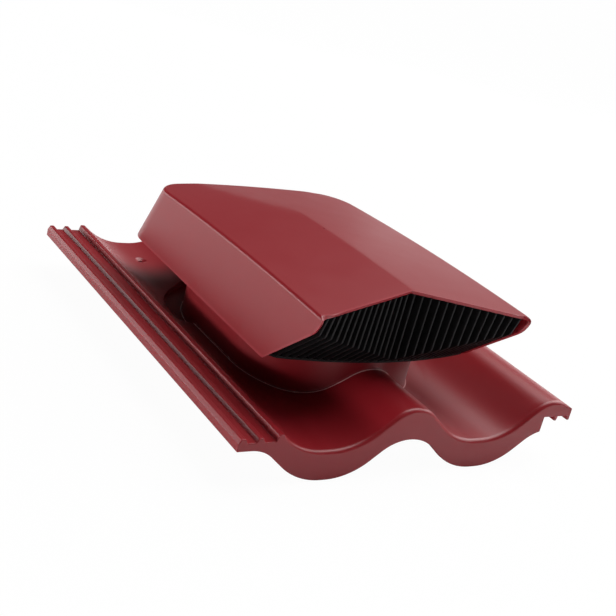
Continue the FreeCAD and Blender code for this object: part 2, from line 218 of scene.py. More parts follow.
def rounded(corners, step=math.radians(7)):
    """Open polyline through (u, v, radius) corners, with each arc cut into short steps."""
    pts = [np.array(c[:2], float) for c in corners]
    out = [pts[0]]
    for i in range(1, len(pts) - 1):
        radius = corners[i][2]
        if radius == 0:
            out.append(pts[i])
            continue
        back = pts[i - 1] - pts[i]
        ahead = pts[i + 1] - pts[i]
        back /= np.linalg.norm(back)
        ahead /= np.linalg.norm(ahead)
        half = math.acos(np.clip(back @ ahead, -1, 1)) / 2
        turn = math.pi - 2 * half
        mid = back + ahead
        centre = pts[i] + mid / np.linalg.norm(mid) * radius / math.sin(half)
        a = pts[i] + back * radius / math.tan(half) - centre
        b = pts[i] + ahead * radius / math.tan(half) - centre
        count = max(2, int(math.ceil(turn / step)))
        for k in range(count + 1):
            t = k / count
            out.append(centre + (math.sin((1 - t) * turn) * a + math.sin(t * turn) * b) / math.sin(turn))
    out.append(pts[-1])
    return np.array(out)


def closed_round(corners, step=COARSE):
    """Closed loop through (u, v, radius) corners."""
    ring = rounded([corners[-1]] + list(corners) + [corners[0]], step)
    return ring[1:-1]


def inward(loop):
    """Inward mitred normals of a closed loop, whichever way round it runs."""
    ahead = np.roll(loop, -1, axis=0) - loop
    ahead /= np.linalg.norm(ahead, axis=1)[:, None]
    left = np.stack([-ahead[:, 1], ahead[:, 0]], 1)
    before = np.roll(left, 1, axis=0)
    both = (left + before) / np.maximum(1 + (left * before).sum(1), MITRE_MIN)[:, None]
    x, y = loop[:, 0], loop[:, 1]
    area = (x * np.roll(y, -1) - np.roll(x, -1) * y).sum()
    return both if area > 0 else -both


class Pieces:
    """Vertices in millimetres and faces of one moulding."""

    def __init__(self):
        self.verts = []
        self.faces = []

    def points(self, pts):
        first = len(self.verts)
        self.verts.extend(tuple(float(v) for v in p) for p in pts)
        return np.arange(first, len(self.verts))

    def sheet(self, ids, wrap=False):
        """Quads over a grid of vertex numbers."""
        rows, cols = ids.shape
        for i in range(rows - 1):
            for j in range(cols if wrap else cols - 1):
                k = (j + 1) % cols
                self.faces.append((ids[i, j], ids[i, k], ids[i + 1, k], ids[i + 1, j]))

    def loft(self, loops, caps=True):
        """Skin over equal closed loops, with flat ends."""
        ids = np.array([self.points(loop) for loop in loops])
        self.sheet(ids, wrap=True)
        if caps:
            self.faces.append(tuple(ids[0]))
            self.faces.append(tuple(ids[-1]))

    def slab(self, loop, place, start, end, ease):
        """Prism on a closed loop, its end edges eased; place(loop, level) gives 3-D points."""
        small = loop + inward(loop) * ease
        way = math.copysign(ease, end - start)
        self.loft([place(small, start), place(loop, start + way), place(loop, end - way), place(small, end)])


def across_x(loop, x):
    return np.stack([np.full(len(loop), x), loop[:, 0], loop[:, 1]], 1)


def across_y(loop, y):
    return np.stack([loop[:, 0], np.full(len(loop), y), loop[:, 1]], 1)


def across_z(loop, z):
    return np.stack([loop[:, 0], loop[:, 1], np.full(len(loop), z)], 1)


def circle(x, y, radius, count=32):
    a = np.arange(count) * 2 * math.pi / count
    return np.stack([x + radius * np.cos(a), y + radius * np.sin(a)], 1)


def join(bm, pieces):
    """Adds a moulding to a mesh, without the quads that have shrunk to a line; gives its vertices."""
    verts = [bm.verts.new((x * MM, y * MM, z * MM)) for x, y, z in pieces.verts]
    for face in pieces.faces:
        if len(set(face)) > 2:
            bm.faces.new([verts[i] for i in face])
    return verts


def finish_object(name, bm, node, material, sharp=38.0):
    """Smooth-shaded object on the root body in place of a CAD node."""
    bmesh.ops.recalc_face_normals(bm, faces=bm.faces)
    mesh = bpy.data.meshes.new(name)
    bm.to_mesh(mesh)
    bm.free()
    for poly in mesh.polygons:
        poly.use_smooth = True
    mesh.set_sharp_from_angle(angle=math.radians(sharp))
    mesh.materials.append(material)
    obj = bpy.data.objects.new(name, mesh)
    bpy.context.scene.collection.objects.link(obj)
    weighted = obj.modifiers.new("weighted", "WEIGHTED_NORMAL")
    weighted.keep_sharp = True
    weighted.weight = 80
    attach(obj, "root")
    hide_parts(node)


# Hood; its rows are closer where the surface turns

SIDE_SHARES = np.concatenate([(0, 0.005, 0.014), np.linspace(0, 1, 25)[1:-1]])
SIDE_N = len(SIDE_SHARES)
CORNER_N = 14
REAR_SHARES = np.concatenate([np.linspace(1, 0.14, 18)[1:], (0.09, 0.05, 0.02)])
WALL_SHARES = np.concatenate([(0, 0.022, 0.06), np.linspace(0.14, 0.70, 7), np.linspace(0.74, 1, 13)])
FILLET_N = 5
EAVE_TRIES = 8
NOSE_STEP = math.radians(4)
ROOF_RINGS = (4.6, 7.5, 11.5, 16.0, 20.0)


def roof(u, y, inset=0.0):
    """Height of the hood's roof: a crowned gable that runs into a flat hip at the rear."""
    beside = np.sqrt(u * u + RIDGE_SOFT ** 2) - RIDGE_SOFT / 2
    gable = CROWN_Z - EDGE_DROP / HALF * beside - (y - CROWN_Y) ** 2 / (2 * CROWN_R)
    hip = HIP_Z - HIP_RISE * (y - HIP_Y)
    return (gable + hip - np.sqrt((gable - hip) ** 2 + HIP_SOFT ** 2)) / 2 - inset


def roof_normal(u, y):
    step = 0.5
    slope_u = (roof(u + step, y) - roof(u - step, y)) / (2 * step)
    slope_y = (roof(u, y + step) - roof(u, y - step)) / (2 * step)
    n = np.array([-slope_u, -slope_y, 1.0])
    return n / np.linalg.norm(n)


def rear_outline(inset):
    """Corner, rear and corner of the walls, square to the leaning rear: (u, q) and outward normals."""
    half = HALF - inset
    radius = REAR_R - inset
    tilt = math.atan2(REAR_BOW, half)
    centre_u = -half + radius
    centre_q = -inset - radius * math.tan((math.pi / 2 - tilt) / 2)
    pts, normals = [], []
    for k in range(CORNER_N + 1):
        a = math.pi - (math.pi / 2 - tilt) * k / CORNER_N
        pts.append((centre_u + radius * math.cos(a), centre_q + radius * math.sin(a)))
        normals.append((math.cos(a), math.sin(a)))
    end_u = pts[-1][0]
    bow_q = REAR_BOW - inset - BOW_R / math.cos(tilt)
    for share in REAR_SHARES:
        u = end_u * share
        if abs(u) < BOW_R * math.sin(tilt):
            pts.append((u, bow_q + math.sqrt(BOW_R ** 2 - u * u)))
            normals.append((u / BOW_R, math.sqrt(1 - (u / BOW_R) ** 2)))
        else:
            pts.append((u, REAR_BOW - inset - abs(u) * math.tan(tilt)))
            normals.append((-math.sin(tilt), math.cos(tilt)))
    middle = [(0.0, bow_q + BOW_R)]
    mirrored = [(-u, q) for u, q in pts[::-1]]
    flipped = [(-a, b) for a, b in normals[::-1]]
    return np.array(pts + middle + mirrored), np.array(normals + [(0.0, 1.0)] + flipped)


def lean_y(q, z):
    """Where the leaning outline's point stands at a height."""
    return REAR_SIDE_Y + q / math.cos(REAR_LEAN) - (z - HOOD_Z) * math.tan(REAR_LEAN)


def front_edge_y(back):
    """Front edge of a side wall in side view, from its foot to the rounded nose, set back by a length."""
    pts = rounded([
        (FOOT_Y, HOOD_Z, 0),
        (KINK_Y, KINK_Z, KINK_R),
        (CORNER_Y, CORNER_Z, NOSE_R),
        (RIDGE_Y, CORNER_Z, 0),
    ], NOSE_STEP)[:-1]
    return lambda z: np.interp(z, pts[:, 1], pts[:, 0]) + back


def eave(u, q, inset, y_start=None, share=None):
    """Sharp corner between wall and roof on one column."""
    z = CORNER_Z - inset
    for _ in range(EAVE_TRIES):
        y = lean_y(q, z)
        if share is not None:
            y = y_start + (y - y_start) * share
        z = float(roof(u, y, inset))
    return y, z


def blend_dir(a, b, t):
    n = a * (1 - t) + b * t
    return n / np.linalg.norm(n)


def hood_skin(pieces, inset, fillet):
    """Outer or inner skin of the hood; gives the vertex numbers round its open edge."""
    outline, normals = rear_outline(inset)
    back = RIM_BACK if inset else 0.0
    edge_y = front_edge_y(back)
    half = HALF - inset
    cos_l, sin_l = math.cos(REAR_LEAN), math.sin(REAR_LEAN)
    nose_y = float(edge_y(roof(half, NOSE_Y + NOSE_R, inset)))
    columns = [(-half, outline[0, 1], (-1.0, 0.0), s) for s in SIDE_SHARES]
    columns += [(u, q, tuple(n), None) for (u, q), n in zip(outline, normals)]
    columns += [(half, outline[-1, 1], (1.0, 0.0), s) for s in SIDE_SHARES[::-1]]
    rings = [rear_outline(inset + d)[0] for d in ROOF_RINGS]

    def notch_y(u):
        return max(RIDGE_Y + back + (NOSE_Y - RIDGE_Y) * abs(u) / HALF, nose_y)

    grid = []
    for c, (u, q, (n_u, n_q), share) in enumerate(columns):
        y, z = eave(u, q, inset, nose_y, share)
        n_wall = np.array([n_u, n_q * cos_l, n_q * sin_l])
        n_roof = roof_normal(u, y)
        corner = np.array([u, y, z])
        centre = corner - fillet * (n_wall + n_roof) / (1 + n_wall @ n_roof)
        top = centre + fillet * n_wall

        def place(at_u, at_z, at_y):
            if share is None:
                return at_u, at_y, at_z
            front = float(edge_y(at_z))
            return at_u, front + (lean_y(q, at_z) - front) * share, at_z

        column = []
        for t in WALL_SHARES:
            at_z = HOOD_Z + (top[2] - HOOD_Z) * t
            column.append(place(u, at_z, lean_y(q, at_z)))
        for k in range(1, FILLET_N + 1):
            p = centre + fillet * blend_dir(n_wall, n_roof, k / FILLET_N)
            column.append(place(p[0], p[2], p[1]))
        for d, ring in zip(ROOF_RINGS, rings):
            if share is None:
                at_u, ring_q = ring[c - SIDE_N]
                at_y = lean_y(ring_q, z)
            else:
                at_u = math.copysign(half - d, u)
                front = notch_y(at_u)
                at_y = front + (lean_y(ring[0, 1], z) - front) * share
            column.append((at_u, at_y, float(roof(at_u, at_y, inset))))
        grid.append(column)
    grid = np.array(grid)
    ids = pieces.points(grid.reshape(-1, 3) + (CREST_X, 0, 0)).reshape(grid.shape[:2])
    pieces.sheet(ids)

    # The roof inside the last ring, blended between its four sides
    first = SIDE_N + CORNER_N // 2
    last = len(columns) - 1 - first
    ring_pts, ring_ids = grid[:, -1, :2], ids[:, -1]
    left, right = ring_pts[:first + 1], ring_pts[last:][::-1]
    rear = ring_pts[first:last + 1]
    front_us = rear[:, 0] / abs(rear[0, 0]) * abs(left[0, 0])
    front = np.array([(u, notch_y(u)) for u in front_us])
    s = np.concatenate([[0], np.cumsum(np.linalg.norm(np.diff(left, axis=0), axis=1))])
    s = (s / s[-1])[:, None, None]
    t = ((rear[:, 0] - rear[0, 0]) / (rear[-1, 0] - rear[0, 0]))[None, :, None]
    flat = (1 - s) * front[None] + s * rear[None] + (1 - t) * left[:, None] + t * right[:, None]
    flat -= (1 - s) * (1 - t) * front[0] + (1 - s) * t * front[-1]
    flat -= s * (1 - t) * rear[0] + s * t * rear[-1]
    inner = np.empty(flat.shape[:2], int)
    inner[:, 0], inner[:, -1] = ring_ids[:first + 1], ring_ids[last:][::-1]
    inner[-1] = ring_ids[first:last + 1]
    for i in range(flat.shape[0] - 1):
        row = flat[i, 1:-1]
        heights = roof(row[:, 0], row[:, 1], inset)
        inner[i, 1:-1] = pieces.points(np.stack([row[:, 0] + CREST_X, row[:, 1], heights], 1))
    pieces.sheet(inner)
    return list(ids[:, 0]) + list(ids[-1, 1:]) + list(inner[0, ::-1][1:-1]) + list(ids[0, ::-1][:-1])


def hood_catches(pieces):
    """Snap hooks that go under the floor's edge, and stop ribs that stand on it."""
    wall_in = HALF - WALL
    top = COLLAR_TOP - HOOK_GAP
    stop_top = FLOOR_TOP + STOP_H
    for side in (-1, 1):
        root = CREST_X + side * (wall_in + WALL / 2)
        tip = CREST_X + side * (wall_in - HOOK_IN)
        rib = CREST_X + side * (wall_in - STOP_IN)
        for y in HOOK_YS:
            hook = np.array([(root, top - HOOK_H), (tip, top - HOOK_H / 3), (tip, top), (root, top)])
            pieces.slab(hook, across_y, y - HOOK_W / 2, y + HOOK_W / 2, CATCH_EASE)
            stop = np.array([(root, FLOOR_TOP), (rib, FLOOR_TOP), (rib, stop_top), (root, stop_top)])
            for away in (-STOP_SIDE, STOP_SIDE):
                pieces.slab(stop, across_y, y + away - STOP_T / 2, y + away + STOP_T / 2, CATCH_EASE)


def make_hood(material):
    """Two skins joined by a rounded rim, the catches inside and the mark of the gate on the ridge."""
    pieces = Pieces()
    outer = hood_skin(pieces, 0.0, ROOF_ROUND)
    inner = hood_skin(pieces, WALL, INNER_ROUND)
    count = len(outer)
    for k in range(count):
        m = (k + 1) % count
        pieces.faces.append((outer[k], outer[m], inner[m], inner[k]))
    bm = bmesh.new()
    verts = join(bm, pieces)
    edges = []
    for rim in (outer, inner):
        for k in range(count):
            edges.append(bm.edges.get((verts[rim[k]], verts[rim[(k + 1) % count]])))
    bmesh.ops.bevel(bm, geom=edges, offset=RIM_BEVEL * MM, offset_type="OFFSET", segments=2, profile=0.5,
                    affect="EDGES", clamp_overlap=False)
    catches = Pieces()
    hood_catches(catches)
    level = float(roof(0.0, GATE_Y))
    gate = circle(CREST_X, GATE_Y, GATE_R)
    catches.slab(gate, across_z, level - GATE_SINK, level + GATE_H, CATCH_EASE)
    join(bm, catches)
    finish_object("hood_moulding", bm, "hood", material)


# Grille and its screws

OBROUND_N = 40
OBROUND_SIDE_N = 8
FLOOR_FRONT_N = 40
TINY = 1e-9
SLACK = 1e-6
FILLET_MID = 0.3


def floor_front(across):
    """Bowed front edge of the grille's floor."""
    return FLOOR_MID_Y + FLOOR_R - math.sqrt(FLOOR_R ** 2 - across ** 2)


def under_roof(across, y):
    """Height of the gable's outer face, without its softened ridge."""
    return CROWN_Z - EDGE_DROP / HALF * abs(across) - (y - CROWN_Y) ** 2 / (2 * CROWN_R)


def fin(pieces, across):
    """One upright fin whose front edge runs down, kinks and turns back under the hood."""
    share = abs(across) / HALF
    top_y = RIDGE_Y + (NOSE_Y - RIDGE_Y) * share + FIN_BACK
    kink_y = MID_KINK_Y + (KINK_Y - MID_KINK_Y) * share + FIN_BACK
    kink_z = MID_KINK_Z + (KINK_Z - MID_KINK_Z) * share
    foot_y = floor_front(across)
    foot_z = FLOOR_TOP - FLOOR_T / 2
    under = WALL + ROOF_GAP + EDGE_DROP / HALF * FIN_T / 2
    loop = closed_round([
        (top_y, under_roof(across, top_y) - under, FIN_END_R),
        (kink_y, kink_z, FIN_KINK_R),
        (foot_y, foot_z, FIN_END_R),
        (foot_y + FIN_DEEP, foot_z, FIN_END_R),
        (kink_y + FIN_DEEP, kink_z, FIN_KINK_R),
        (top_y + FIN_DEEP, under_roof(across, top_y + FIN_DEEP) - under, FIN_END_R),
    ])
    x = CREST_X + across
    pieces.slab(loop, across_x, x - FIN_T / 2, x + FIN_T / 2, FIN_BEVEL)


def tie_bar(pieces, side):
    """Bar behind the fins' tops, from one side wall to the ridge."""
    half = HALF - WALL - FIT
    run = (RIDGE_Y - NOSE_Y) * half / HALF
    end_y = RIDGE_Y - run + FIN_BACK + FIN_DEEP
    top = under_roof(half, end_y) - WALL - 2 * ROOF_GAP
    rise = under_roof(0, end_y + run) - under_roof(half, end_y)
    loop = closed_round([
        (end_y - BAR_T, top - BAR_H, BAR_ROUND),
        (end_y, top - BAR_H, BAR_ROUND),
        (end_y, top, BAR_ROUND),
        (end_y - BAR_T, top, BAR_ROUND),
    ])
    pieces.loft([across_x(loop, CREST_X + side * half), across_x(loop + (run, rise), CREST_X)])


def obround(radius):
    """Round-ended loop on the collar's axis with its outward normals."""
    pts, normals = [], []
    for start, y, far in ((math.pi, COLLAR_FRONT_Y, COLLAR_REAR_Y), (0.0, COLLAR_REAR_Y, COLLAR_FRONT_Y)):
        for k in range(OBROUND_N + 1):
            a = start + math.pi * k / OBROUND_N
            normals.append((math.cos(a), math.sin(a)))
            pts.append((CREST_X + radius * math.cos(a), y + radius * math.sin(a)))
        side = math.cos(start + math.pi)
        for k in range(1, OBROUND_SIDE_N):
            normals.append((side, 0.0))
            pts.append((CREST_X + radius * side, y + (far - y) * k / OBROUND_SIDE_N))
    return np.array(pts), np.array(normals)


def floor_edge(z):
    """Outline of the floor plate inside the hood."""
    inset = WALL + FIT
    outline = rear_outline(inset)[0]
    half = HALF - inset
    rear = [(u, lean_y(q, z)) for u, q in outline]
    front = [(u, floor_front(u)) for u in np.linspace(half, -half, FLOOR_FRONT_N)]
    return np.array(rear + front) + (CREST_X, 0)


def ray_hit(origin, way, loop):
    """Farthest crossing of a ray with a closed loop."""
    a, b = loop, np.roll(loop, -1, axis=0)
    edge = b - a
    det = way[0] * -edge[:, 1] + way[1] * edge[:, 0]
    det = np.where(np.abs(det) < TINY, TINY, det)
    rel = a - origin
    t = (rel[:, 0] * -edge[:, 1] + rel[:, 1] * edge[:, 0]) / det
    s = (way[0] * rel[:, 1] - way[1] * rel[:, 0]) / det
    good = (s >= -SLACK) & (s <= 1 + SLACK) & (t > 0)
    return origin + way * t[good].max()


def grille_floor(pieces):
    """Floor plate with the airway and its rain upstand."""
    ease, foot = FLOOR_EASE, UPSTAND_FOOT
    inner, normals = obround(UPSTAND_R)
    edge = floor_edge((COLLAR_TOP + FLOOR_TOP) / 2)
    hits = np.array([ray_hit(p, n, edge) for p, n in zip(inner, normals)])
    shy = hits - normals * ease

    def ring(d, z):
        return across_z(inner + normals * d, z)

    rows = [ring(0, COLLAR_TOP + ease), ring(0, UPSTAND_Z - ease), ring(ease, UPSTAND_Z)]
    rows += [ring(UPSTAND_T - ease, UPSTAND_Z), ring(UPSTAND_T, UPSTAND_Z - ease)]
    for out, up in ((0, foot), (FILLET_MID * foot, FILLET_MID * foot), (foot, 0)):
        rows.append(ring(UPSTAND_T + out, FLOOR_TOP + up))
    rows += [across_z(shy, FLOOR_TOP), across_z(hits, FLOOR_TOP - ease), across_z(hits, COLLAR_TOP + ease)]
    rows += [across_z(shy, COLLAR_TOP), ring(ease, COLLAR_TOP)]
    ids = np.array([pieces.points(row) for row in rows + rows[:1]])
    ids[-1] = ids[0]
    pieces.sheet(ids, wrap=True)


def make_grille(material):
    pieces = Pieces()
    first = -(FIN_COUNT - 1) / 2 * FIN_PITCH
    for i in range(FIN_COUNT):
        fin(pieces, first + i * FIN_PITCH)
    tie_bar(pieces, -1)
    tie_bar(pieces, 1)
    grille_floor(pieces)
    bm = bmesh.new()
    join(bm, pieces)
    finish_object("grille_moulding", bm, "grille", material)


SCREW_N = 32
SCREW_SHY = 1.0
TIP_R = 0.25
TIP_H = 1.6
THREAD_STEP = 1.1
THREAD_DEEP = 0.35
THREAD_LAND = (0.45, 0.55)
THREAD_STOP = 1.5
SHANK_SHY = 0.1
HEAD_EASE = 0.2
HEAD_RIM_H = 1.0
DOME_SHARES = (0.94, 0.84, 0.70, 0.56, 0.50, 0.40, 0.34, 0.26, 0.20, 0.10)
CROSS_DEEP = 1.1
CROSS_HALF = 0.55
CROSS_REACH = 0.52
SCREW_SHARP = 30.0


def screw(pieces, x, y):
    """Pan-head screw with a cross recess and rolled rings of thread."""
    crown, head = SCREW_D / 2, SCREW_HEAD_D / 2
    root, shank = crown - THREAD_DEEP, crown - SHANK_SHY
    z = FLOOR_TOP - SCREW_L + SCREW_SHY
    levels = [(TIP_R, z)]
    z += TIP_H
    while z < COLLAR_TOP - THREAD_STOP:
        levels += [(root, z)] + [(crown, z + THREAD_STEP * share) for share in THREAD_LAND]
        z += THREAD_STEP
    levels += [(root, z), (shank, COLLAR_TOP), (shank, FLOOR_TOP)]
    levels += [(head - HEAD_EASE, FLOOR_TOP), (head, FLOOR_TOP + HEAD_EASE), (head, FLOOR_TOP + HEAD_RIM_H)]
    loops = [across_z(circle(x, y, r, SCREW_N), z) for r, z in levels]
    angles = np.arange(SCREW_N) * 2 * math.pi / SCREW_N
    for share in DOME_SHARES:
        r = head * share
        dome = FLOOR_TOP + HEAD_RIM_H + (SCREW_HEAD_H - HEAD_RIM_H) * math.sqrt(1 - share ** 2)
        beside = np.minimum(np.abs(np.sin(angles)), np.abs(np.cos(angles))) * r
        sunk = np.where((beside < CROSS_HALF) & (share < CROSS_REACH), CROSS_DEEP * (1 - share), 0.0)
        loop = across_z(circle(x, y, r, SCREW_N), 0.0)
        loop[:, 2] = dome - sunk
        loops.append(loop)
    pieces.loft(loops)


def make_screws(material):
    pieces = Pieces()
    for side in (-1, 1):
        for y in BOSS_YS:
            screw(pieces, CREST_X + side * BOSS_IN, y)
    bm = bmesh.new()
    join(bm, pieces)
    finish_object("floor_screw_set", bm, "floor_screws", material, SCREW_SHARP)


# Tile

MID_LEFT = -124.5
MID_RIGHT = 139.0
MID_FRONT = FRONT + APRON_T
MID_REAR = REAR - REAR_ROUND
RAY_NEAR = 24.0
RAY_N = 15
FAN_SIDE_N = 15
FAN_REAR_N = 18
STRAIGHT_N = 9
FRONT_N = 68
REAR_N = 60

# Where a ray's rows lie, from the collar out: moat and plain sheet have equally many
MOAT_FOOT_R = 1.0
MOAT_EDGE_R = 0.8
MOAT_EDGE_MID = 0.23
MOAT_MID = 0.3
MOAT_FLOOR_AT = (6, 11, 15, MOAT_W - MOAT_FOOT_R)
SHEET_AT = (6, 11, 15, 16.5, 17.2, 17.7, 18.1, 18.5, 19.2)
UNDER_AT = (6, 12, MOAT_W)
UNDER_MOAT_STEP = 0.5
UNDER_SHEET_AT = (20, 21, 22)
DUCT_EASE = 0.6

FINE = math.radians(1.5)
APRON_STEP = math.radians(3)
APRON_GAP = 0.5
UNDER_R = 3.0
HEM_R = 1.0
SMALL_R = 0.8
HEAD_R = 1.2
HEAD_FLANK_R = 3.0
EDGE_RUN = 2.5
EDGE_N = 12
EDGE_R = 0.7

# The front edge's wide rounding fades out towards ribs and right edge
ROUND_FROM = -128.5
ROUND_FADE = 6.0
ROUND_EDGE = 1.0
ROUND_EDGE_FADE = 8.0

BAR_EASE = 0.3
BAR_BITE = 0.3
BAR_SIDE_SHY = 0.04
BAR_END_SHY = 0.1
NIB_EASE = 0.6
BOSS_EASE = 0.5
BOSS_SHY = 0.05
DRILL_CLEAR = 2.5
DRILL_BAND = 6.0
DRILL_FACING = 0.6
SINK_EASE = 0.3
SINK_EDGE = 0.2
WELD = 0.002


def lip_corner(depth):
    """Corner where the last flank and the overlap lip would meet over the right-hand crest."""
    reach = (CREST_R - depth) / (1 + math.cos(FLANK + LIP))
    x = CREST_X + PITCH + reach * (math.sin(LIP) - math.sin(FLANK))
    return x, CREST_Z - CREST_R + reach * (math.cos(LIP) + math.cos(FLANK))


def wave_corners(depth, drop=0.0, crest_r=CREST_R, pinch=0.0):
    """Corners of the wave from the first valley to the right edge, at a depth under the top face."""
    half = FLAT_HALF + (VALLEY_R + depth) * math.tan(FLANK / 2) - pinch
    valley_z = VALLEY_Z - depth - drop
    apex_z = CREST_Z - CREST_R + (CREST_R - depth) / math.cos(FLANK) - drop + pinch * math.tan(FLANK)
    corners = []
    for x in VALLEYS:
        corners += [(x - half, valley_z, VALLEY_R + depth), (x + half, valley_z, VALLEY_R + depth)]
    corners.insert(2, (CREST_X, apex_z, crest_r - depth))
    x, z = lip_corner(depth)
    corners.append((x, z - drop, crest_r - depth))
    corners.append((RIGHT, z - drop - (RIGHT - x) * math.tan(LIP), 0))
    return corners


def flank_x(depth, z, drop=0.0, pinch=0.0):
    """Where the first flank passes a height."""
    x, valley_z = wave_corners(depth, drop, CREST_R, pinch)[0][:2]
    return x - (z - valley_z) / math.tan(FLANK)


UNDER_Z = CHANNEL_Z - SHEET
UNDER_START = [(LEFT, UNDER_Z, 0), (flank_x(SHEET, UNDER_Z), UNDER_Z, UNDER_R)]
TOP_LINE = rounded([(flank_x(0, HEAD_Z), HEAD_Z, 0)] + wave_corners(0), FINE)
UNDER_LINE = rounded(UNDER_START + wave_corners(SHEET), FINE)


def top_z(x):
    return np.interp(x, TOP_LINE[:, 0], TOP_LINE[:, 1])


def under_z(x):
    return np.interp(x, UNDER_LINE[:, 0], UNDER_LINE[:, 1])


def left_section():
    """Interlock section in two runs: along its underside to the hem, and round the hem over the ribs."""
    top = CHANNEL_Z + RIB_H
    half = RIB_TOP / 2
    hem = LEFT + HEM_T
    inner = rounded([(MID_LEFT, UNDER_Z, 0), (hem, UNDER_Z, HEM_R), (hem, HEM_Z, 0)])
    corners = [(hem, HEM_Z, 0), (LEFT, HEM_Z, SMALL_R), (LEFT, CHANNEL_Z, SMALL_R)]
    for centre in (LEFT + RIB_1, LEFT + RIB_2):
        if centre > LEFT + RIB_1:
            corners.append((centre - half - RIB_FOOT, CHANNEL_Z, SMALL_R))
        corners += [(centre - half, top, RIB_ROUND), (centre + half, top, RIB_ROUND)]
        corners.append((centre + half + RIB_FOOT, CHANNEL_Z, SMALL_R))
    head = flank_x(0, HEAD_Z)
    corners.append((head - HEAD_TOP - HEAD_LEAN, CHANNEL_Z, SMALL_R))
    corners += [(head - HEAD_TOP, HEAD_Z, HEAD_R), (head, HEAD_Z, HEAD_FLANK_R)]
    corners.append((MID_LEFT, float(top_z(MID_LEFT)), 0))
    return inner, rounded(corners, COARSE)


def right_section():
    """Overlap lip section from the top, round the right edge and back along the underside."""
    xs = np.linspace(MID_RIGHT, RIGHT - EDGE_RUN, EDGE_N)
    edge_top, edge_low = wave_corners(0)[-1][1], wave_corners(SHEET)[-1][1]
    nose = rounded([(xs[-1], float(top_z(xs[-1])), 0), (RIGHT, edge_top, EDGE_R), (RIGHT, edge_low, EDGE_R),
                    (xs[-1], float(under_z(xs[-1])), 0)], COARSE)
    outer = np.concatenate([np.stack([xs, top_z(xs)], 1)[:-1], nose])
    back = xs[::-1][1:]
    return np.concatenate([outer, np.stack([back, under_z(back)], 1)])


def apron_line():
    """Lower outline of the apron from right to left, with the step where the next tile slides under."""
    flank = flank_x(0, HEM_Z, APRON_H, APRON_PINCH)
    low = [(LEFT + HEM_T, HEM_Z, 0), (flank, HEM_Z, APRON_LEFT_R)]
    low = rounded(low + wave_corners(0, APRON_H, APRON_CREST_R, APRON_PINCH), APRON_STEP)
    step_z = float(np.interp(NOTCH_X, low[:, 0], low[:, 1]))
    low = low[low[:, 0] < NOTCH_X - APRON_GAP]
    return np.concatenate([low, [(NOTCH_X, step_z), (NOTCH_X, NOTCH_Z), (RIGHT, NOTCH_Z)]])[::-1]


def ray_columns():
    """Rays from the collar's outline to the middle field's border: foot, way, end, moat above, moat below."""
    columns = []

    def fan(y, ends):
        for end in ends:
            way = np.array(end, float) - (CREST_X, y)
            way /= np.linalg.norm(way)
            foot = np.array((CREST_X, y)) + COLLAR_R * way
            columns.append((foot, way, np.array(end, float), y > MOAT_FRONT_Y, y > MOAT_FRONT_Y))

    def straight(side, ys):
        border = MID_RIGHT if side > 0 else MID_LEFT
        for y, above, below in ys:
            columns.append((np.array((CREST_X + side * COLLAR_R, y)), np.array((side, 0.0)),
                            np.array((border, y)), above, below))

    xs = np.linspace(MID_LEFT, MID_RIGHT, FRONT_N)
    down = np.linspace(COLLAR_FRONT_Y, MID_FRONT, FAN_SIDE_N)
    fan(COLLAR_FRONT_Y, [(MID_LEFT, y) for y in down] + [(x, MID_FRONT) for x in xs[1:]]
        + [(MID_RIGHT, y) for y in down[::-1][1:]])
    low_y = MOAT_FRONT_Y - SHEET
    plain = [(y, False, False) for y in np.linspace(COLLAR_FRONT_Y, low_y, STRAIGHT_N)[1:]]
    ends = [(low_y, False, True), (MOAT_FRONT_Y, False, True), (MOAT_FRONT_Y, True, True)]
    straight(1, plain + ends)
    up = np.linspace(COLLAR_REAR_Y, MID_REAR, FAN_REAR_N)
    xs = np.linspace(MID_RIGHT, MID_LEFT, REAR_N)
    fan(COLLAR_REAR_Y, [(MID_RIGHT, y) for y in up] + [(x, MID_REAR) for x in xs[1:]]
        + [(MID_LEFT, y) for y in up[::-1][1:]])
    straight(-1, (plain + ends)[::-1])
    return columns


QUARTER = np.radians((22.5, 45.0, 67.5, 90.0))


def outer_rows(column, height):
    """Rows from near the ray's start to the border, on a surface given by its height over x."""
    foot, way, end = column[:3]
    near = foot + way * RAY_NEAR
    rows = []
    for t in np.linspace(0, 1, RAY_N):
        p = near + (end - near) * t
        rows.append((p[0], p[1], float(height(p[0]))))
    return rows


